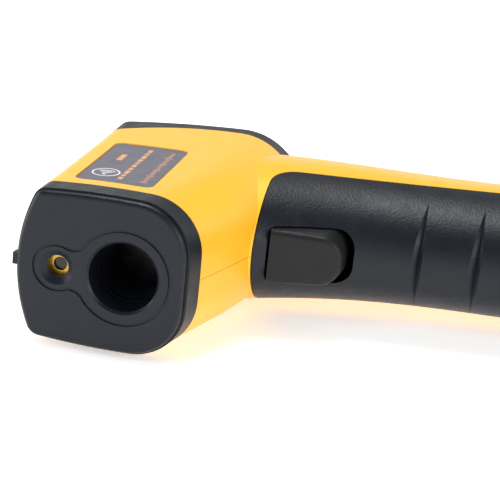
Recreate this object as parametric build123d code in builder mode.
from build123d import *
import os
from math import cos, radians, sin, sqrt, tan

# Pistol-grip infrared thermometer, lying on its right side.
# Frame, in millimetres: the origin is the centre of the sensing aperture, on the nose face.
# +X runs from the top of the barrel down the handle, +Y from the nose to the back, and +Z is
# the thermometer's left side. Z = 0 is the plane where the two halves of the housing meet.

os.makedirs("parts", exist_ok=True)

# ---------------------------------------------------------------- driving dimensions
# Barrel: the part that holds the optics and the display
barrel_top = -22.6            # upper corners of the nose
crown_rise = 4.3              # the top's arch above those corners
barrel_bottom = 14.7          # lower edge of the nose
belly_rise = 0.6              # the underside's arch
nose_half_width = 18.5
rear_half_width = 20.5        # half width of the barrel at its back
side_rise = 0.9               # the sides' arch
top_corner = 3.5
nose_bottom_corner = 13.3
rear_bottom_corner = 18.0
underside_slope = 0.20        # fall of the underside behind the nose
underside_flare = 0.0021      # how fast that fall grows, per millimetre
flare_length = 42.0           # where the underside runs into the handle
widening_length = 78.0
barrel_stations = (0.0, 12.0, 31.0, 54.0, 78.0)   # sections of the barrel, before its lip

# Back face
face_tilt = 12.5              # degrees that the display looks up
face_back = 75.0              # the display face's middle behind the nose
beak_down = 19.5              # where the flat face turns into the lower lip
bezel_round = 1.4

# Line where the yellow housing meets the black bezel
bezel_brow_up = -30.0
bezel_brow_back = 54.0
bezel_line_middle = (-5.0, 68.1)
bezel_line_end = (21.0, 72.0)
bezel_turn_back = 84.0
bezel_bottom = 28.5

# Handle
handle_end = 124.0
handle_half_width = 17.0
root_half_width = 18.3
handle_depth = 50.0
handle_lean = 0.115           # how far the handle leans back for each millimetre down
handle_middle = 62.5          # middle of the handle's depth, straight below the aperture
straight_from = 60.0          # the handle's front is straight below this
guard_down = 24.0             # where the handle's front leaves the barrel
guard_pull = 8.8              # how far forward of the straight line it starts
guard_curve = 2.2
handle_stations = (10.0, 24.0, 40.0, 60.0, 88.0, 124.0)
end_round = 4.0

# Walls, seams and fits
wall = 2.0
seam = 0.12                   # line between two fixed shells
door_gap = 0.3                # line round the battery door
fit = 0.05                    # radial clearance of a pin in its bore
slack = 0.25                  # clearance beside a loose or sliding piece
far = 40.0                    # half width of a cutting body

# Nose cap
cap_depth = 8.0
cap_step = 0.4                # the face stands this far inside the sides
cap_step_depth = 1.9
cap_round = 1.3
face_thickness = 2.4
aperture_radius = 8.5
aperture_chamfer = 0.6
collar_wall = 1.9
collar_end = 7.0
lens_ring_radius = 12.0       # keyhole groove round the aperture and the laser
laser_ring_radius = 6.0
ring_blend = 3.5              # hollow curves between the two rings
groove_width = 0.8
groove_depth = 0.45
laser_down = -16.4
laser_cone_radius = 4.4
laser_hole_radius = 2.7
laser_cone_depth = 1.2
laser_seat = 3.2              # front of the laser module
sight_width = 2.8
sight_height = 1.5
sight_front = 1.4
sight_length = 4.6

# Optics
tube_bore = 7.7
tube_wall = 1.6
tube_end = 30.0
tube_flange = 10.4
tube_flange_length = 2.0
lens_seat_radius = 8.3
lens_seat_back = 22.0
lens_thickness = 1.0
retainer_length = 2.0
retainer_bore = 7.0
can_radius = 4.1
can_length = 3.2
can_flange_radius = 4.6
can_flange_length = 0.6
can_pin_radius = 0.25
can_pin_circle = 2.5
holder_plug_length = 3.5
holder_flange_length = 1.6
board_thickness = 1.6
sensor_board_side = 15.0
laser_body_radius = 3.0
laser_body_length = 16.0
laser_mouth_radius = 1.7
laser_mouth_depth = 1.6
laser_lens_thickness = 0.8

# Display and keys, measured in the plane of the display face
window_width = 26.0
window_height = 21.0
window_thickness = 1.0
window_ledge = 1.4
window_rise = 8.0             # the window's middle above the face's middle
lcd_width = 24.4
lcd_height = 19.5
lcd_thickness = 2.0
lcd_gap = 0.3
light_guide_gap = 0.3
strip_height = 3.1            # light guide and contact strips, from board to display
strip_width = 1.8
board_half_width = 16.3
board_up = 17.5
board_down = 15.5
post_radius = 1.9
post_across = 14.3
post_up = 14.5
post_down = 12.5
post_hole = 0.8
board_screw_head = 1.8
board_screw_head_length = 1.2
key_width = 9.0
key_height = 5.6
key_across = 6.6
key_drop = 10.6
key_proud = 1.1
key_travel = 0.6
key_flange = 0.8
key_corner = 1.8
key_round = 0.6
window_corner = 2.0
switch_side = 6.0
switch_height = 3.2
plunger_radius = 1.7
plunger_height = 0.6
buzzer_radius = 6.0
buzzer_height = 3.0
buzzer_drop = 6.0
chip_side = 10.0
chip_height = 1.6
chip_rise = 7.0
board_corner = 3.0
board_screw_radius = 1.0
board_screw_grip = 4.0

# Grip, which is also the battery door
door_top = 24.4
door_edge_top = 53.0          # the grip's rear edge: its height at the top, middle and end
door_edge_middle = (62.0, 64.0)
door_edge_end = 70.9
door_corner = 9.0
hinge_down = 114.0
hinge_inset = 5.5             # the pin's centre behind the handle's front
hinge_pin_radius = 1.0
knuckle_half = 6.0
lug_half = 9.4
rib_first = 64.5              # three pressed grooves for the fingers
rib_pitch = 14.6
rib_count = 3
rib_depth = 1.1
rib_reach = 15.0              # half length of a groove across the handle
rib_slope = 1.2

# Trigger
opening_top = 27.4
opening_end = 48.6
opening_half = 7.4
opening_corner = 1.2
opening_round = 5.5
skirt_wall = 1.2              # wall behind the opening's edge
skirt_top = 34.4
skirt_back = 49.0
trigger_gap = 0.4
trigger_face_top = 28.1
trigger_face_end = 46.2
trigger_proud = 0.3           # how far the face stands out at its top
trigger_proud_end = 4.6       # and at its end
trigger_round = 1.6
trigger_draft = 14.0           # degrees that its end and sides flare towards the opening
trigger_pivot_down = 30.2
trigger_pivot_back = 47.5
trigger_hub = 3.2
trigger_pin_radius = 1.5
trigger_throw = 7.0           # degrees, from rest to fully pulled
trigger_pin_half = 10.0
trigger_back = 46.0
trigger_nub_down = 38.0
trigger_nub_width = 4.0
switch_body = 6.0
switch_depth = 5.0
switch_plunger = 1.0
return_spring_down = 43.4
return_spring_radius = 1.8
return_spring_pitch = 1.7

# Battery tray and cells
cell_radius = 5.25
cell_length = 44.5
cell_tip_radius = 1.9
cell_tip_length = 0.9
cell_across = 5.6
tray_top = 54.0
tray_end = 108.4
tray_front = -11.6            # these three are measured from the handle's middle
tray_wall = 1.5
plate_top = 28.0
plate_back = -4.5
plate_half = 13.8
bracket_half = 10.0
bracket_wall = 1.4
cheek_front = 50.6
well_end = 50.4
shelf_front = 56.3
contact_side = 8.0
contact_thickness = 0.4
contact_corner = 1.0
spring_wire = 0.35
cell_spring_radius = 2.8
cell_spring_pitch = 1.25
rail_end = 98.0
rail_reach = 11.6

# Fasteners
barrel_screws = ((-13.5, 42.0), (13.0, 46.0))
handle_screws = ((58.0, 84.0), (104.0, 87.0))
boss_radius = 3.0
screw_head_radius = 2.4
screw_head_length = 1.8
screw_radius = 1.25
screw_length = 16.0
barrel_seat = 13.0             # screw heads' seats, this far right of the middle plane
handle_seat = 9.6

saddle_back = 18.0            # rib that carries the sensor tube

# Label
label_top = -17.3
label_bottom = 1.9
label_front = 12.0
label_back = 47.5
label_corner = 2.0
label_recess = 0.45
label_thickness = 0.25


# ---------------------------------------------------------------- shared form
def across_barrel(back):
    """Plane across the barrel; its x is the frame's X and its y the frame's Z."""
    return Plane(origin=(0, back, 0), x_dir=(1, 0, 0), z_dir=(0, -1, 0))


def across_handle(down):
    """Plane across the handle; its x is the frame's Y and its y the frame's Z."""
    return Plane(origin=(down, 0, 0), x_dir=(0, 1, 0), z_dir=(1, 0, 0))


def barrel_foot(back):
    """How far down the barrel's lower edge lies."""
    run = min(max(0.0, back), flare_length)
    return barrel_bottom + underside_slope * run + underside_flare * run * run


def barrel_section(back, inset):
    """Closed outline of the barrel, flat-arched on top and well rounded below."""
    reach = min(1.0, max(0.0, back) / widening_length)
    half = nose_half_width + (rear_half_width - nose_half_width) * reach ** 1.5 - inset
    top = barrel_top + inset
    bottom = barrel_foot(back) - inset
    corner = nose_bottom_corner + (rear_bottom_corner - nose_bottom_corner) * reach - inset
    middle = (top + bottom) / 2
    with BuildSketch(across_barrel(back)) as section:
        with BuildLine():
            ThreePointArc((top, -half), (top - crown_rise, 0), (top, half))
            ThreePointArc((top, half), (middle, half + side_rise), (bottom, half))
            ThreePointArc((bottom, half), (bottom + belly_rise, 0), (bottom, -half))
            ThreePointArc((bottom, -half), (middle, -half - side_rise), (top, -half))
        make_face()
        fillet(section.vertices().group_by(Axis.X)[0], top_corner - inset)
        fillet(section.vertices().group_by(Axis.X)[-1], corner)
    return section.sketch


def handle_front(down):
    """How far back the handle's front lies on the middle plane."""
    straight = handle_middle + handle_lean * down - handle_depth / 2
    share = max(0.0, straight_from - down) / (straight_from - guard_down)
    return straight - guard_pull * share ** guard_curve


def handle_back(down):
    return handle_middle + handle_lean * down + handle_depth / 2


# where the lip below the display meets the handle's back
lip_down = barrel_foot(flare_length) + belly_rise + slack
lip_back = handle_back(lip_down)


def handle_half(down):
    share = min(1.0, max(0.0, straight_from - down) / (straight_from - guard_down))
    return handle_half_width + (root_half_width - handle_half_width) * share


def handle_section(down, inset):
    """Oval across the handle."""
    front = handle_front(down)
    back = handle_back(down)
    with BuildSketch(across_handle(down)) as section:
        with Locations(((front + back) / 2, 0)):
            Ellipse((back - front) / 2 - inset, handle_half(down) - inset)
    return section.sketch


def along_handle():
    """Plane of the handle's middle: its x runs down the handle, its y towards the back."""
    return Plane(origin=(0, handle_middle, 0), x_dir=(1, handle_lean, 0), z_dir=(0, 0, 1))


def across_tray(down):
    """Plane across the battery tray, square to the leaning handle."""
    middle = along_handle()
    return Plane(origin=middle.from_local_coords((down, 0, 0)), x_dir=middle.y_dir, z_dir=middle.x_dir)


def side_prism(outline):
    """The outline, drawn on the middle plane, carried through the whole width."""
    with BuildPart() as prism:
        add(outline)
        extrude(amount=far, both=True)
    return prism.part


def behind_face(inset):
    """Everything behind the back face: the flat display face and the lip below it."""
    lean = tan(radians(face_tilt))
    lift = inset / cos(radians(face_tilt))
    with BuildSketch() as outline:
        with BuildLine():
            top = (-2 * far, face_back - 2 * far * lean - lift)
            turn = (beak_down, face_back + beak_down * lean - lift)
            face = Line(top, turn)
            lip = TangentArc(turn, (lip_down, lip_back - inset), tangent=face % 1)
            Line(lip @ 1, (lip_down, 4 * far))
            Line((lip_down, 4 * far), (-2 * far, 4 * far))
            Line((-2 * far, 4 * far), top)
        make_face()
    return side_prism(outline.sketch)


def body_form(inset):
    """The thermometer's outer form, or the space inside its wall."""
    with BuildPart() as barrel:
        for back in (*barrel_stations, lip_back):
            add(barrel_section(back, inset))
        loft()
    with BuildPart() as handle:
        for down in handle_stations:
            add(handle_section(down, inset))
        loft()
        end = handle.faces().sort_by(Axis.X)[-1]
        if inset == 0:
            fillet(end.edges(), end_round)
        else:
            with BuildSketch(across_handle(handle_end - inset)):
                Rectangle(8 * far, 2 * far)
            extrude(amount=2 * far, mode=Mode.SUBTRACT)
    return barrel.part + handle.part - behind_face(inset)


outer = body_form(0)
inner = body_form(wall)
shell = outer - inner


def slab(front, back):
    """Everything between two distances behind the nose."""
    with BuildPart(Plane.XZ.offset(-back)) as block:
        Box(8 * far, 8 * far, back - front, align=(Align.CENTER, Align.CENTER, Align.MIN))
    return block.part


def bezel_zone(inset):
    """The back of the barrel, behind the curved line where the black bezel starts."""
    with BuildSketch() as outline:
        with BuildLine():
            brow = Line((-2 * far, bezel_brow_back), (bezel_brow_up, bezel_brow_back))
            line = ThreePointArc(brow @ 1, bezel_line_middle, bezel_line_end)
            turn = TangentArc(line @ 1, (bezel_bottom, bezel_turn_back), tangent=line % 1)
            Line(turn @ 1, (bezel_bottom, 4 * far))
            Line((bezel_bottom, 4 * far), (-2 * far, 4 * far))
            Line((-2 * far, 4 * far), brow @ 0)
        make_face()
        if inset:
            offset(amount=-inset, kind=Kind.INTERSECTION, mode=Mode.REPLACE)
    return side_prism(outline.sketch)


hinge_back = handle_front(hinge_down) + hinge_inset


def door_zone(grow):
    """The front of the handle, down to the round edge about the hinge pin."""
    with BuildSketch() as outline:
        with BuildLine():
            edge = ThreePointArc(
                (door_top, door_edge_top), door_edge_middle, (hinge_down, door_edge_end))
            Polyline(edge @ 1, (hinge_down, -far), (door_top, -far), edge @ 0)
        make_face()
        fillet(outline.vertices().sort_by_distance((door_top, door_edge_top))[0], door_corner)
        with Locations((hinge_down, hinge_back)):
            Circle(hinge_inset)
        if grow:
            offset(amount=grow, kind=Kind.INTERSECTION, mode=Mode.REPLACE)
    return side_prism(outline.sketch)


def split_half(part, keep_left):
    """One side of a piece, cut half a seam away from the middle plane."""
    with BuildPart() as half:
        add(part)
        if keep_left:
            split(bisect_by=Plane.XY.offset(seam / 2), keep=Keep.TOP)
        else:
            split(bisect_by=Plane.XY.offset(-seam / 2), keep=Keep.BOTTOM)
    return half.part


# ---------------------------------------------------------------- nose cap
def keyhole(inset):
    """Outline round the aperture and the laser: two circles joined by hollow curves."""
    lens_ring = lens_ring_radius - inset
    laser_ring = laser_ring_radius - inset
    neck = ring_blend + inset
    reach = -laser_down
    # the hollow curve's centre, found from its distances to the two openings
    to_laser = laser_ring + neck
    to_lens = lens_ring + neck
    along = (reach ** 2 + to_laser ** 2 - to_lens ** 2) / (2 * reach)
    aside = sqrt(to_laser ** 2 - along ** 2)
    laser = Vector(laser_down, 0)
    hollow = Vector(laser_down + along, aside)
    on_laser = laser + (hollow - laser) * (laser_ring / to_laser)
    on_lens = hollow * (lens_ring / to_lens)
    waist = hollow - Vector(0, neck)
    with BuildSketch() as outline:
        with BuildLine():
            ThreePointArc((on_lens.X, -on_lens.Y), (lens_ring, 0), (on_lens.X, on_lens.Y))
            ThreePointArc((on_lens.X, on_lens.Y), (waist.X, waist.Y), (on_laser.X, on_laser.Y))
            ThreePointArc(
                (on_laser.X, on_laser.Y), (laser_down - laser_ring, 0), (on_laser.X, -on_laser.Y))
            ThreePointArc(
                (on_laser.X, -on_laser.Y), (waist.X, -waist.Y), (on_lens.X, -on_lens.Y))
        make_face()
    return outline.sketch


with BuildPart() as nose_cap:
    add(shell & slab(-far, cap_depth - seam))
    add(outer & slab(-far, face_thickness))
    # the face steps in from the sides and is rounded at its edge
    with BuildSketch(across_barrel(0)):
        Rectangle(4 * far, 4 * far)
        add(barrel_section(0, cap_step), mode=Mode.SUBTRACT)
    extrude(amount=-cap_step_depth, mode=Mode.SUBTRACT)
    fillet(nose_cap.faces().sort_by(Axis.Y)[0].edges(), cap_round)
    # collars behind the face for the sensor tube and the laser
    with BuildSketch(across_barrel(face_thickness)):
        Circle(aperture_radius + collar_wall)
    extrude(amount=-(collar_end - face_thickness))
    with BuildSketch(across_barrel(face_thickness)):
        with Locations((laser_down, 0)):
            Circle(laser_body_radius + collar_wall)
    extrude(amount=-(collar_end - face_thickness))
    # keyhole groove round both openings
    with BuildSketch(across_barrel(0)):
        add(keyhole(0))
        add(keyhole(groove_width), mode=Mode.SUBTRACT)
    extrude(amount=-groove_depth, mode=Mode.SUBTRACT)
    # sensing aperture
    with BuildSketch(across_barrel(0)):
        Circle(aperture_radius)
    extrude(amount=-collar_end, mode=Mode.SUBTRACT)
    rim = nose_cap.edges().filter_by(GeomType.CIRCLE).filter_by(
        lambda edge: abs(edge.radius - aperture_radius) < seam / 2)
    chamfer(rim.sort_by(Axis.Y)[0], aperture_chamfer)
    # laser's cone and its socket
    with BuildSketch(Plane.XY):
        with BuildLine():
            Polyline(
                (laser_down, -seam), (laser_down + laser_cone_radius + seam, -seam),
                (laser_down + laser_hole_radius, laser_cone_depth),
                (laser_down + laser_hole_radius, laser_seat),
                (laser_down + laser_body_radius + fit, laser_seat),
                (laser_down + laser_body_radius + fit, collar_end),
                (laser_down, collar_end), close=True,
            )
        make_face()
    revolve(axis=Axis((laser_down, 0, 0), (0, 1, 0)), mode=Mode.SUBTRACT)
    # front sight
    with BuildSketch(Plane.XY) as sight:
        with BuildLine():
            crown = barrel_top - crown_rise + cap_step
            Polyline(
                (crown + wall, sight_front), (crown - sight_height, sight_front),
                (crown - sight_height, sight_front + sight_length / 2),
                (crown, sight_front + sight_length), (crown + wall, sight_front + sight_length),
                close=True,
            )
        make_face()
        fillet(sight.vertices().group_by(Axis.X)[0], sight_height / 4)
    extrude(amount=sight_width / 2, both=True)
nose_cap.part.label = "nose_cap"
export_step(nose_cap.part, "parts/nose_cap.step")

# ---------------------------------------------------------------- sensor tube and optics
tube_radius = tube_bore + tube_wall
tube_start = collar_end + slack

with BuildPart() as sensor_tube:
    with BuildSketch(across_barrel(tube_start)):
        Circle(tube_radius)
    extrude(amount=-(tube_end - tube_start))
    with BuildSketch(across_barrel(tube_start)):
        Circle(tube_flange)
    extrude(amount=-tube_flange_length)
    with BuildSketch(across_barrel(tube_start)):
        Circle(tube_bore)
    extrude(amount=-(tube_end - tube_start), mode=Mode.SUBTRACT)
    with BuildSketch(across_barrel(lens_seat_back)):
        Circle(lens_seat_radius)
    extrude(amount=-(tube_end - lens_seat_back), mode=Mode.SUBTRACT)
sensor_tube.part.label = "sensor_tube"
export_step(sensor_tube.part, "parts/sensor_tube.step")

with BuildPart() as infrared_lens:
    with BuildSketch(across_barrel(lens_seat_back)):
        Circle(lens_seat_radius - fit)
    extrude(amount=-lens_thickness)
infrared_lens.part.label = "infrared_lens"
export_step(infrared_lens.part, "parts/infrared_lens.step")

retainer_back = lens_seat_back + lens_thickness
with BuildPart() as lens_retainer:
    with BuildSketch(across_barrel(retainer_back)):
        Circle(lens_seat_radius - fit)
        Circle(retainer_bore, mode=Mode.SUBTRACT)
    extrude(amount=-retainer_length)
lens_retainer.part.label = "lens_retainer"
export_step(lens_retainer.part, "parts/lens_retainer.step")

holder_front = tube_end - holder_plug_length
holder_back = tube_end + holder_flange_length
can_front = holder_back - can_flange_length - can_length
with BuildPart() as sensor_holder:
    with BuildSketch(across_barrel(holder_front)):
        Circle(lens_seat_radius - fit)
    extrude(amount=-holder_plug_length)
    with BuildSketch(across_barrel(tube_end)):
        Circle(tube_radius)
    extrude(amount=-holder_flange_length)
    with BuildSketch(across_barrel(holder_front)):
        Circle(can_radius + fit)
    extrude(amount=-(holder_back - holder_front), mode=Mode.SUBTRACT)
    with BuildSketch(across_barrel(holder_back - can_flange_length)):
        Circle(can_flange_radius + fit)
    extrude(amount=-can_flange_length, mode=Mode.SUBTRACT)
sensor_holder.part.label = "sensor_holder"
export_step(sensor_holder.part, "parts/sensor_holder.step")

sensor_board_front = holder_back
with BuildPart() as thermopile:
    with BuildSketch(across_barrel(can_front)):
        Circle(can_radius)
    extrude(amount=-can_length)
    with BuildSketch(across_barrel(can_front + can_length)):
        Circle(can_flange_radius)
    extrude(amount=-can_flange_length)
    with BuildSketch(across_barrel(holder_back)):
        with PolarLocations(can_pin_circle, 4):
            Circle(can_pin_radius)
    extrude(amount=-2 * board_thickness)
thermopile.part.label = "thermopile"
export_step(thermopile.part, "parts/thermopile.step")

with BuildPart() as sensor_board:
    with BuildSketch(across_barrel(sensor_board_front)):
        RectangleRounded(sensor_board_side, sensor_board_side, contact_corner)
        with PolarLocations(can_pin_circle, 4):
            Circle(can_pin_radius + fit, mode=Mode.SUBTRACT)
    extrude(amount=-board_thickness)
sensor_board.part.label = "sensor_board"
export_step(sensor_board.part, "parts/sensor_board.step")

# ---------------------------------------------------------------- laser
with BuildPart() as laser_module:
    with BuildSketch(across_barrel(laser_seat)):
        with Locations((laser_down, 0)):
            Circle(laser_body_radius)
    extrude(amount=-laser_body_length)
    with BuildSketch(across_barrel(laser_seat)):
        with Locations((laser_down, 0)):
            Circle(laser_mouth_radius)
    extrude(amount=-laser_mouth_depth, mode=Mode.SUBTRACT)
laser_module.part.label = "laser_module"
export_step(laser_module.part, "parts/laser_module.step")

with BuildPart() as laser_lens:
    with BuildSketch(across_barrel(laser_seat + laser_mouth_depth - laser_lens_thickness)):
        with Locations((laser_down, 0)):
            Circle(laser_mouth_radius - fit)
    extrude(amount=-laser_lens_thickness)
laser_lens.part.label = "laser_lens"
export_step(laser_lens.part, "parts/laser_lens.step")

# ---------------------------------------------------------------- housing halves
def label_prism(grow):
    """The label's outline, carried out through the left side."""
    with BuildPart() as prism:
        with BuildSketch():
            with Locations(((label_top + label_bottom) / 2, (label_front + label_back) / 2)):
                RectangleRounded(
                    label_bottom - label_top + 2 * grow, label_back - label_front + 2 * grow,
                    label_corner + grow,
                )
        extrude(amount=far)
    return prism.part


def hinge_zone(half_length, grow):
    """Round bar about the hinge pin, as deep as the handle's front."""
    with BuildPart() as bar:
        with BuildSketch(Plane.XY):
            with Locations((hinge_down, hinge_back)):
                Circle(hinge_inset + grow)
        extrude(amount=half_length, both=True)
    return bar.part


screw_seats = ((barrel_screws, barrel_seat), (handle_screws, handle_seat))
sunk_form = Pos(0, 0, -label_recess) * outer
label_form = Pos(0, 0, label_thickness - label_recess) * outer

with BuildPart() as housing:
    add(shell & slab(cap_depth, 8 * far))
    # bosses for the screws
    with BuildSketch(Plane.XY):
        with Locations(*barrel_screws, *handle_screws):
            Circle(boss_radius)
    extrude(amount=far, both=True)
    # rib that carries the sensor tube and the laser
    with BuildSketch(across_barrel(saddle_back)):
        Rectangle(4 * far, 4 * far)
    extrude(amount=-wall)
    with BuildSketch(across_barrel(saddle_back)):
        Circle(tube_radius + slack)
        with Locations((laser_down, 0)):
            Circle(laser_body_radius + slack)
    extrude(amount=-wall, mode=Mode.SUBTRACT)
    # rails behind the battery tray
    for side in (-1, 1):
        with BuildSketch(along_handle().offset(side * rail_reach)):
            with Locations(((plate_top + rail_end) / 2, plate_back + 1.5 * tray_wall)):
                Rectangle(rail_end - plate_top, tray_wall)
        extrude(amount=side * far)
    add(outer, mode=Mode.INTERSECT)
    add(bezel_zone(0), mode=Mode.SUBTRACT)
    add(door_zone(door_gap), mode=Mode.SUBTRACT)
    # lugs that hold the hinge pin
    with BuildSketch(Plane.XY):
        with Locations((hinge_down, hinge_back)):
            Circle(hinge_inset)
        with Locations((hinge_down + hinge_inset, hinge_back)):
            Rectangle(2 * hinge_inset, 2 * hinge_inset)
    extrude(amount=lug_half, both=True)
    add(hinge_zone(knuckle_half + door_gap, door_gap), mode=Mode.SUBTRACT)
    add(outer, mode=Mode.INTERSECT)
    with BuildSketch(Plane.XY):
        with Locations((hinge_down, hinge_back)):
            Circle(hinge_pin_radius + fit)
    extrude(amount=lug_half, both=True, mode=Mode.SUBTRACT)
    # screws enter from the right and bite in the left half
    for places, seat in screw_seats:
        with BuildSketch(Plane.XY.offset(-far)):
            with Locations(*places):
                Circle(screw_head_radius + slack)
        extrude(amount=far - seat, mode=Mode.SUBTRACT)
        with BuildSketch(Plane.XY.offset(-seat)):
            with Locations(*places):
                Circle(screw_radius)
        extrude(amount=screw_length + slack, mode=Mode.SUBTRACT)
    # recess for the label
    label_recess_cut = label_prism(slack) - sunk_form
    add(label_recess_cut, mode=Mode.SUBTRACT)

left_housing = split_half(housing.part, True)
left_housing.label = "left_housing"
export_step(left_housing, "parts/left_housing.step")

right_housing = split_half(housing.part, False)
right_housing.label = "right_housing"
export_step(right_housing, "parts/right_housing.step")

with BuildPart() as side_label:
    add((label_form - sunk_form) & label_prism(0))
side_label.part.label = "side_label"
export_step(side_label.part, "parts/side_label.step")

with BuildPart() as housing_screws:
    for places, seat in screw_seats:
        with BuildSketch(Plane.XY.offset(-seat)):
            with Locations(*places):
                Circle(screw_head_radius)
        extrude(amount=-screw_head_length)
        with BuildSketch(Plane.XY.offset(-seat)):
            with Locations(*places):
                Circle(screw_radius)
        extrude(amount=screw_length)
housing_screws.part.label = "housing_screws"
export_step(housing_screws.part, "parts/housing_screws.step")

# ---------------------------------------------------------------- battery door
def trigger_opening(grow):
    """The opening's outline, square at its top and round at its end, carried inwards."""
    with BuildPart() as prism:
        with BuildSketch(Plane.XZ) as opening:
            with Locations(((opening_top + opening_end) / 2, 0)):
                Rectangle(opening_end - opening_top, 2 * opening_half)
            fillet(opening.vertices().group_by(Axis.X)[0], opening_corner)
            fillet(opening.vertices().group_by(Axis.X)[-1], opening_round)
            if grow:
                offset(amount=grow, kind=Kind.ARC, mode=Mode.REPLACE)
        extrude(amount=-skirt_back)
    return prism.part


def finger_groove(down):
    """V-shaped ring that cuts the handle's front deepest at the middle and fades out."""
    half_depth = handle_depth / 2
    skin = sqrt(1 - (rib_reach / handle_half(down)) ** 2) + rib_depth / half_depth
    stretch = rib_reach / sqrt(1 - skin ** 2) / half_depth
    bottom = handle_front(down) + rib_depth
    with BuildPart() as groove:
        with BuildSketch(Plane.XY):
            with BuildLine():
                Polyline(
                    (down, bottom),
                    (down - rib_slope * wall, bottom - wall),
                    (down + rib_slope * wall, bottom - wall), close=True,
                )
            make_face()
        revolve(axis=Axis((0, bottom + half_depth, 0), (1, 0, 0)))
        scale(by=(1, 1, stretch))
        with Locations((down, bottom, 0)):
            Box(rib_pitch, handle_depth, 2 * rib_reach, mode=Mode.INTERSECT)
    return groove.part


with BuildPart() as skirt_space:
    with BuildSketch(Plane.XY):
        with Locations((skirt_top + far / 2, skirt_back / 2)):
            Rectangle(far, skirt_back)
    extrude(amount=far, both=True)
skirt_reach = skirt_space.part

with BuildPart() as battery_door:
    add((outer & door_zone(0)) - inner)
    # solid knuckle about the hinge pin, with notches beside it for the housing's lugs
    add(hinge_zone(lug_half + slack, door_gap), mode=Mode.SUBTRACT)
    with BuildSketch(Plane.XY):
        with Locations((hinge_down, hinge_back - hinge_inset)):
            Rectangle(2 * (hinge_inset + door_gap), 2 * hinge_inset)
    extrude(amount=lug_half + slack, both=True, mode=Mode.SUBTRACT)
    add(hinge_zone(knuckle_half, 0))
    with BuildSketch(Plane.XY):
        with Locations((hinge_down - hinge_inset, hinge_back - hinge_inset / 2)):
            Rectangle(2 * hinge_inset, hinge_inset)
    extrude(amount=knuckle_half, both=True)
    add(outer, mode=Mode.INTERSECT)
    with BuildSketch(Plane.XY):
        with Locations((hinge_down, hinge_back)):
            Circle(hinge_pin_radius + fit)
    extrude(amount=lug_half, both=True, mode=Mode.SUBTRACT)
    # opening for the trigger, with a skirt behind its edge
    add(trigger_opening(skirt_wall) & skirt_reach & outer)
    add(trigger_opening(0), mode=Mode.SUBTRACT)
    for place in range(rib_count):
        add(finger_groove(rib_first + place * rib_pitch), mode=Mode.SUBTRACT)
battery_door.part.label = "battery_door"
export_step(battery_door.part, "parts/battery_door.step")

with BuildPart() as hinge_pin:
    with BuildSketch(Plane.XY):
        with Locations((hinge_down, hinge_back)):
            Circle(hinge_pin_radius)
    extrude(amount=lug_half - slack, both=True)
hinge_pin.part.label = "hinge_pin"
export_step(hinge_pin.part, "parts/hinge_pin.step")

# ---------------------------------------------------------------- back bezel and display
lean = radians(face_tilt)
face = Plane(origin=(0, face_back, 0), x_dir=(0, 0, 1), z_dir=(-sin(lean), cos(lean), 0))
lcd_back = wall + lcd_gap
lcd_front = lcd_back + lcd_thickness
board_back = lcd_front + strip_height
board_front = board_back + board_thickness
key_places = [(side * key_across, key_drop) for side in (-1, 1)]
post_places = [
    (side * post_across, place) for side in (-1, 1) for place in (-post_up, post_down)
]

with BuildPart() as rear_bezel:
    add((outer & bezel_zone(seam)) - inner)
    flat_face = rear_bezel.faces().filter_by(face).sort_by(SortBy.AREA)[-1]
    fillet(flat_face.outer_wire().edges().sort_by(Axis.X)[:-1], bezel_round)
    with BuildSketch(face.offset(-wall / 2)):
        with Locations(*post_places):
            Circle(post_radius)
    extrude(amount=-(board_back - wall / 2))
    with BuildSketch(face.offset(-board_back)):
        with Locations(*post_places):
            Circle(post_hole)
    extrude(amount=board_screw_grip + slack, mode=Mode.SUBTRACT)
    with BuildSketch(face):
        with Locations((0, -window_rise)):
            RectangleRounded(window_width, window_height, window_corner)
    extrude(amount=-window_thickness, mode=Mode.SUBTRACT)
    with BuildSketch(face):
        with Locations((0, -window_rise)):
            Rectangle(window_width - 2 * window_ledge, window_height - 2 * window_ledge)
        with Locations(*key_places):
            RectangleRounded(key_width + 2 * slack, key_height + 2 * slack, key_corner + slack)
    extrude(amount=-2 * wall, mode=Mode.SUBTRACT)
rear_bezel.part.label = "rear_bezel"
export_step(rear_bezel.part, "parts/rear_bezel.step")

with BuildPart() as display_window:
    with BuildSketch(face.offset(-window_thickness)):
        with Locations((0, -window_rise)):
            RectangleRounded(window_width - 2 * fit, window_height - 2 * fit, window_corner)
    extrude(amount=window_thickness)
display_window.part.label = "display_window"
export_step(display_window.part, "parts/display_window.step")

with BuildPart() as display_panel:
    with BuildSketch(face.offset(-lcd_front)):
        with Locations((0, -window_rise)):
            Rectangle(lcd_width, lcd_height)
    extrude(amount=lcd_thickness)
display_panel.part.label = "display_panel"
export_step(display_panel.part, "parts/display_panel.step")

with BuildPart() as contact_strips:
    with BuildSketch(face.offset(-board_back)):
        with Locations((0, -window_rise)):
            with GridLocations(0, lcd_height - strip_width, 1, 2):
                Rectangle(lcd_width - 2 * slack, strip_width)
    extrude(amount=strip_height)
contact_strips.part.label = "contact_strips"
export_step(contact_strips.part, "parts/contact_strips.step")

with BuildPart() as light_guide:
    with BuildSketch(face.offset(-board_back)):
        with Locations((0, -window_rise)):
            Rectangle(lcd_width - 2 * slack, lcd_height - 2 * strip_width - 2 * light_guide_gap)
    extrude(amount=strip_height)
light_guide.part.label = "light_guide"
export_step(light_guide.part, "parts/light_guide.step")

with BuildPart() as main_board:
    with BuildSketch(face.offset(-board_front)):
        with Locations((0, (board_down - board_up) / 2)):
            RectangleRounded(2 * board_half_width, board_up + board_down, board_corner)
        with Locations(*post_places):
            Circle(board_screw_radius + fit, mode=Mode.SUBTRACT)
    extrude(amount=board_thickness)
main_board.part.label = "main_board"
export_step(main_board.part, "parts/main_board.step")

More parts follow.
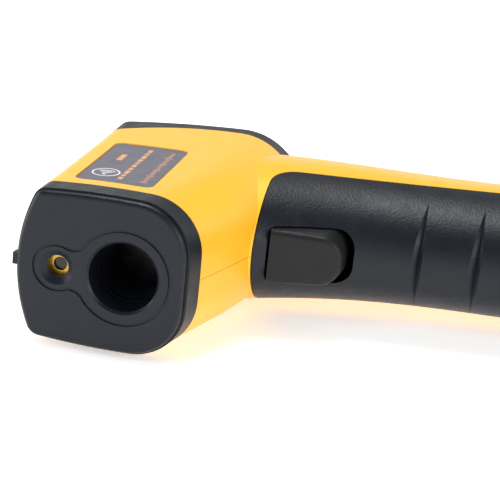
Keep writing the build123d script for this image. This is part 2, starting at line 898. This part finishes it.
with BuildPart() as board_screws:
    with BuildSketch(face.offset(-board_front)):
        with Locations(*post_places):
            Circle(board_screw_head)
    extrude(amount=-board_screw_head_length)
    with BuildSketch(face.offset(-board_front)):
        with Locations(*post_places):
            Circle(post_hole)
    extrude(amount=board_thickness + board_screw_grip)
board_screws.part.label = "board_screws"
export_step(board_screws.part, "parts/board_screws.step")

with BuildPart() as controller_chip:
    with BuildSketch(face.offset(-board_front)):
        with Locations((0, -chip_rise)):
            Rectangle(chip_side, chip_side)
    extrude(amount=-chip_height)
controller_chip.part.label = "controller_chip"
export_step(controller_chip.part, "parts/controller_chip.step")

with BuildPart() as buzzer:
    with BuildSketch(face.offset(-board_front)):
        with Locations((0, buzzer_drop)):
            Circle(buzzer_radius)
    extrude(amount=-buzzer_height)
    fillet(buzzer.faces().sort_by(Axis.Y)[0].edges(), seam * 3)
buzzer.part.label = "buzzer"
export_step(buzzer.part, "parts/buzzer.step")

with BuildPart() as key_switches:
    with BuildSketch(face.offset(-board_back)):
        with Locations(*key_places):
            Rectangle(switch_side, switch_side)
    extrude(amount=switch_height)
    with BuildSketch(face.offset(switch_height - board_back)):
        with Locations(*key_places):
            Circle(plunger_radius)
    extrude(amount=plunger_height)
key_switches.part.label = "key_switches"
export_step(key_switches.part, "parts/key_switches.step")

key_foot = board_back - switch_height - plunger_height - key_travel - fit
for key_name, place in zip(("backlight_key", "laser_key"), key_places):
    with BuildPart() as key:
        with BuildSketch(face.offset(-key_foot)):
            with Locations(place):
                RectangleRounded(key_width, key_height, key_corner)
        extrude(amount=key_foot + key_proud)
        fillet(key.faces().sort_by(Axis((0, 0, 0), face.z_dir))[-1].edges(), key_round)
        with BuildSketch(face.offset(-key_foot)):
            with Locations(place):
                RectangleRounded(
                    key_width + 2 * key_flange, key_height + 2 * key_flange, key_corner)
        extrude(amount=key_foot - wall - slack / 2)
    key.part.label = key_name
    export_step(key.part, f"parts/{key_name}.step")

# ---------------------------------------------------------------- trigger
trigger_half = opening_half - trigger_gap
switch_front = shelf_front - switch_depth
# the nub just reaches the switch's plunger when the trigger is fully pulled
nub_swing = (trigger_nub_down + trigger_nub_width / 2 - trigger_pivot_down) * tan(radians(trigger_throw))
trigger_nub_length = switch_front - switch_plunger - nub_swing - 2 * fit - trigger_back
trigger_reach = opening_end - 2 * trigger_gap
face_start = Vector(trigger_face_top, handle_front(trigger_face_top) - trigger_proud)
face_end = Vector(trigger_face_end, handle_front(trigger_face_end) - trigger_proud_end)
face_along = face_end - face_start
trigger_plane = Plane(
    origin=face_start, x_dir=face_along, z_dir=face_along.cross(Vector(0, 0, 1)))
narrow_half = trigger_half - (trigger_proud_end - trigger_proud) * tan(radians(trigger_draft))

# the trigger's outline widens from its face towards the opening, and stays inside it
with BuildPart() as flared_outline:
    with BuildSketch(trigger_plane) as outline:
        with BuildLine():
            Polyline(
                (-wall, trigger_half), (face_along.length, narrow_half),
                (face_along.length, -narrow_half), (-wall, -trigger_half), close=True,
            )
        make_face()
        fillet(outline.vertices().group_by(Axis.X)[-1], min(opening_round, narrow_half - slack))
    extrude(amount=-far / 2, taper=-trigger_draft)
with BuildPart() as straight_outline:
    with BuildSketch(Plane.XZ) as outline:
        with Locations((trigger_reach - far / 2, 0)):
            Rectangle(far, 2 * trigger_half)
        fillet(outline.vertices().group_by(Axis.X)[-1], opening_round)
    extrude(amount=-2 * far)

with BuildPart() as trigger:
    with BuildSketch(Plane.XY) as profile:
        with BuildLine():
            Polyline(
                (face_start.X, face_start.Y), (face_end.X, face_end.Y),
                (trigger_reach, handle_front(trigger_reach)),
                (trigger_reach, trigger_back),
                (trigger_pivot_down + trigger_hub, trigger_back),
                (trigger_pivot_down + trigger_hub, trigger_pivot_back),
                (trigger_pivot_down - trigger_hub, trigger_pivot_back), close=True,
            )
        make_face()
        with Locations((trigger_pivot_down, trigger_pivot_back)):
            Circle(trigger_hub)
        with Locations((trigger_nub_down, trigger_back + trigger_nub_length / 2)):
            Rectangle(trigger_nub_width, trigger_nub_length)
        with Locations((trigger_pivot_down, trigger_pivot_back)):
            Circle(trigger_pin_radius + fit, mode=Mode.SUBTRACT)
    extrude(amount=trigger_half, both=True)
    add(flared_outline.part, mode=Mode.INTERSECT)
    face_edges = trigger.faces().sort_by(Axis.Y)[0].edges()
    fillet(face_edges.sort_by(Axis.X)[1:], trigger_round)
    add(straight_outline.part, mode=Mode.INTERSECT)
trigger.part.label = "trigger"
export_step(trigger.part, "parts/trigger.step")

with BuildPart() as trigger_pin:
    with BuildSketch(Plane.XY):
        with Locations((trigger_pivot_down, trigger_pivot_back)):
            Circle(trigger_pin_radius)
    extrude(amount=trigger_pin_half, both=True)
trigger_pin.part.label = "trigger_pin"
export_step(trigger_pin.part, "parts/trigger_pin.step")

with BuildPart() as trigger_switch:
    with BuildSketch(Plane.XZ.offset(-switch_front)):
        with Locations((trigger_nub_down, 0)):
            Rectangle(switch_body, switch_body)
    extrude(amount=-switch_depth)
    with BuildSketch(Plane.XZ.offset(-switch_front)):
        with Locations((trigger_nub_down, 0)):
            Circle(plunger_radius)
    extrude(amount=switch_plunger)
trigger_switch.part.label = "trigger_switch"
export_step(trigger_switch.part, "parts/trigger_switch.step")


def coil(radius, pitch, start, length, along):
    """Open coil spring of round wire."""
    with BuildPart() as spring:
        with BuildLine() as path:
            Helix(
                pitch=pitch, height=length - 2 * spring_wire, radius=radius,
                center=Vector(start) + Vector(along) * spring_wire, direction=along,
            )
        with BuildSketch(Plane(origin=path.line @ 0, z_dir=path.line % 0)):
            Circle(spring_wire)
        sweep()
    return spring.part


trigger_spring = coil(
    return_spring_radius, return_spring_pitch,
    (return_spring_down, trigger_back + fit, 0), shelf_front - trigger_back - 2 * fit, (0, 1, 0))
trigger_spring.label = "trigger_spring"
export_step(trigger_spring, "parts/trigger_spring.step")

# ---------------------------------------------------------------- battery tray and cells
def plate_line(down):
    """How far back the tray's plate lies."""
    return handle_middle + handle_lean * down + plate_back


cell_back = plate_back - cell_radius - fit
pocket_half = cell_across + cell_radius + slack
tray_half = pocket_half + tray_wall
pocket_top = tray_top + tray_wall
pocket_end = tray_end - tray_wall

with BuildPart() as battery_tray:
    with BuildSketch(along_handle()):
        with Locations(((plate_top + tray_end) / 2, plate_back + tray_wall / 2)):
            Rectangle(tray_end - plate_top, tray_wall)
    extrude(amount=plate_half, both=True)
    with BuildSketch(along_handle()):
        with Locations(((tray_top + tray_end) / 2, (tray_front + plate_back) / 2)):
            Rectangle(tray_end - tray_top, plate_back - tray_front)
    extrude(amount=tray_half, both=True)
    with BuildSketch(along_handle()):
        with Locations(((pocket_top + pocket_end) / 2, (tray_front + plate_back) / 2)):
            Rectangle(pocket_end - pocket_top, plate_back - tray_front)
    extrude(amount=pocket_half, both=True, mode=Mode.SUBTRACT)
    # bracket for the trigger: a shelf with two cheeks and two lugs
    with BuildSketch(Plane.XY):
        with BuildLine():
            Polyline(
                (plate_top, shelf_front), (tray_top, shelf_front),
                (tray_top, plate_line(tray_top)), (plate_top, plate_line(plate_top)), close=True,
            )
        make_face()
        with Locations((trigger_pivot_down, trigger_pivot_back)):
            Circle(trigger_hub)
        with Locations((trigger_pivot_down, (trigger_pivot_back + shelf_front) / 2)):
            Rectangle(2 * trigger_hub, shelf_front - trigger_pivot_back)
    extrude(amount=bracket_half, both=True)
    with BuildSketch(Plane.XY):
        with Locations(((plate_top + tray_top) / 2, (trigger_pivot_back + shelf_front) / 2)):
            Rectangle(4 * far, shelf_front - trigger_pivot_back)
        with Locations((trigger_pivot_down, trigger_pivot_back)):
            Circle(trigger_hub + slack)
    extrude(amount=trigger_half + trigger_gap, both=True, mode=Mode.SUBTRACT)
    # the well behind the trigger is closed at its sides and its end
    with BuildSketch(Plane.XY):
        with Locations(((plate_top + well_end) / 2, (cheek_front + shelf_front) / 2)):
            Rectangle(well_end - plate_top, shelf_front - cheek_front)
    extrude(amount=bracket_half, both=True)
    with BuildSketch(Plane.XY):
        with Locations(((plate_top + well_end) / 2 - bracket_wall, (cheek_front + shelf_front) / 2)):
            Rectangle(well_end - plate_top, shelf_front - cheek_front)
    extrude(amount=bracket_half - bracket_wall, both=True, mode=Mode.SUBTRACT)
    with BuildSketch(Plane.XY):
        with BuildLine():
            Polyline(
                (0, shelf_front + tray_wall), (tray_top - tray_wall, shelf_front + tray_wall),
                (tray_top - tray_wall, plate_line(tray_top - tray_wall)), (0, plate_line(0)),
                close=True,
            )
        make_face()
    extrude(amount=bracket_half - bracket_wall, both=True, mode=Mode.SUBTRACT)
    with BuildSketch(Plane.XY):
        with Locations((trigger_pivot_down, trigger_pivot_back)):
            Circle(trigger_pin_radius)
    extrude(amount=bracket_half, both=True, mode=Mode.SUBTRACT)
battery_tray.part.label = "battery_tray"
export_step(battery_tray.part, "parts/battery_tray.step")

contact_top = pocket_top + contact_thickness
contact_end = pocket_end - contact_thickness
cell_starts = (contact_end - cell_tip_length - cell_length, contact_top + cell_tip_length)
for number, (side, cell_start) in enumerate(zip((1, -1), cell_starts), start=1):
    with BuildPart() as battery:
        with BuildSketch(across_tray(cell_start + fit)):
            with Locations((cell_back, side * cell_across)):
                Circle(cell_radius)
        extrude(amount=cell_length - 2 * fit)
        fillet(battery.edges().filter_by(GeomType.CIRCLE), seam * 4)
        tip_start = cell_start - cell_tip_length + 2 * fit
        if side > 0:
            tip_start = cell_start + cell_length - 2 * fit
        with BuildSketch(across_tray(tip_start)):
            with Locations((cell_back, side * cell_across)):
                Circle(cell_tip_radius)
        extrude(amount=cell_tip_length)
    battery.part.label = f"battery_{number}"
    export_step(battery.part, f"parts/battery_{number}.step")

with BuildPart() as battery_contacts:
    for start in (pocket_top, contact_end):
        with BuildSketch(across_tray(start)):
            with Locations((cell_back, cell_across), (cell_back, -cell_across)):
                RectangleRounded(contact_side, contact_side, contact_corner)
        extrude(amount=contact_thickness)
battery_contacts.part.label = "battery_contacts"
export_step(battery_contacts.part, "parts/battery_contacts.step")

tray_middle = along_handle()
upper_spring = coil(
    cell_spring_radius, cell_spring_pitch,
    tray_middle.from_local_coords((contact_top, cell_back, cell_across)),
    cell_starts[0] - contact_top, tray_middle.x_dir)
lower_spring = coil(
    cell_spring_radius, cell_spring_pitch,
    tray_middle.from_local_coords((cell_starts[1] + cell_length, cell_back, -cell_across)),
    contact_end - cell_starts[1] - cell_length, tray_middle.x_dir)
with BuildPart() as battery_springs:
    add(upper_spring)
    add(lower_spring)
battery_springs.part.label = "battery_springs"
export_step(battery_springs.part, "parts/battery_springs.step")
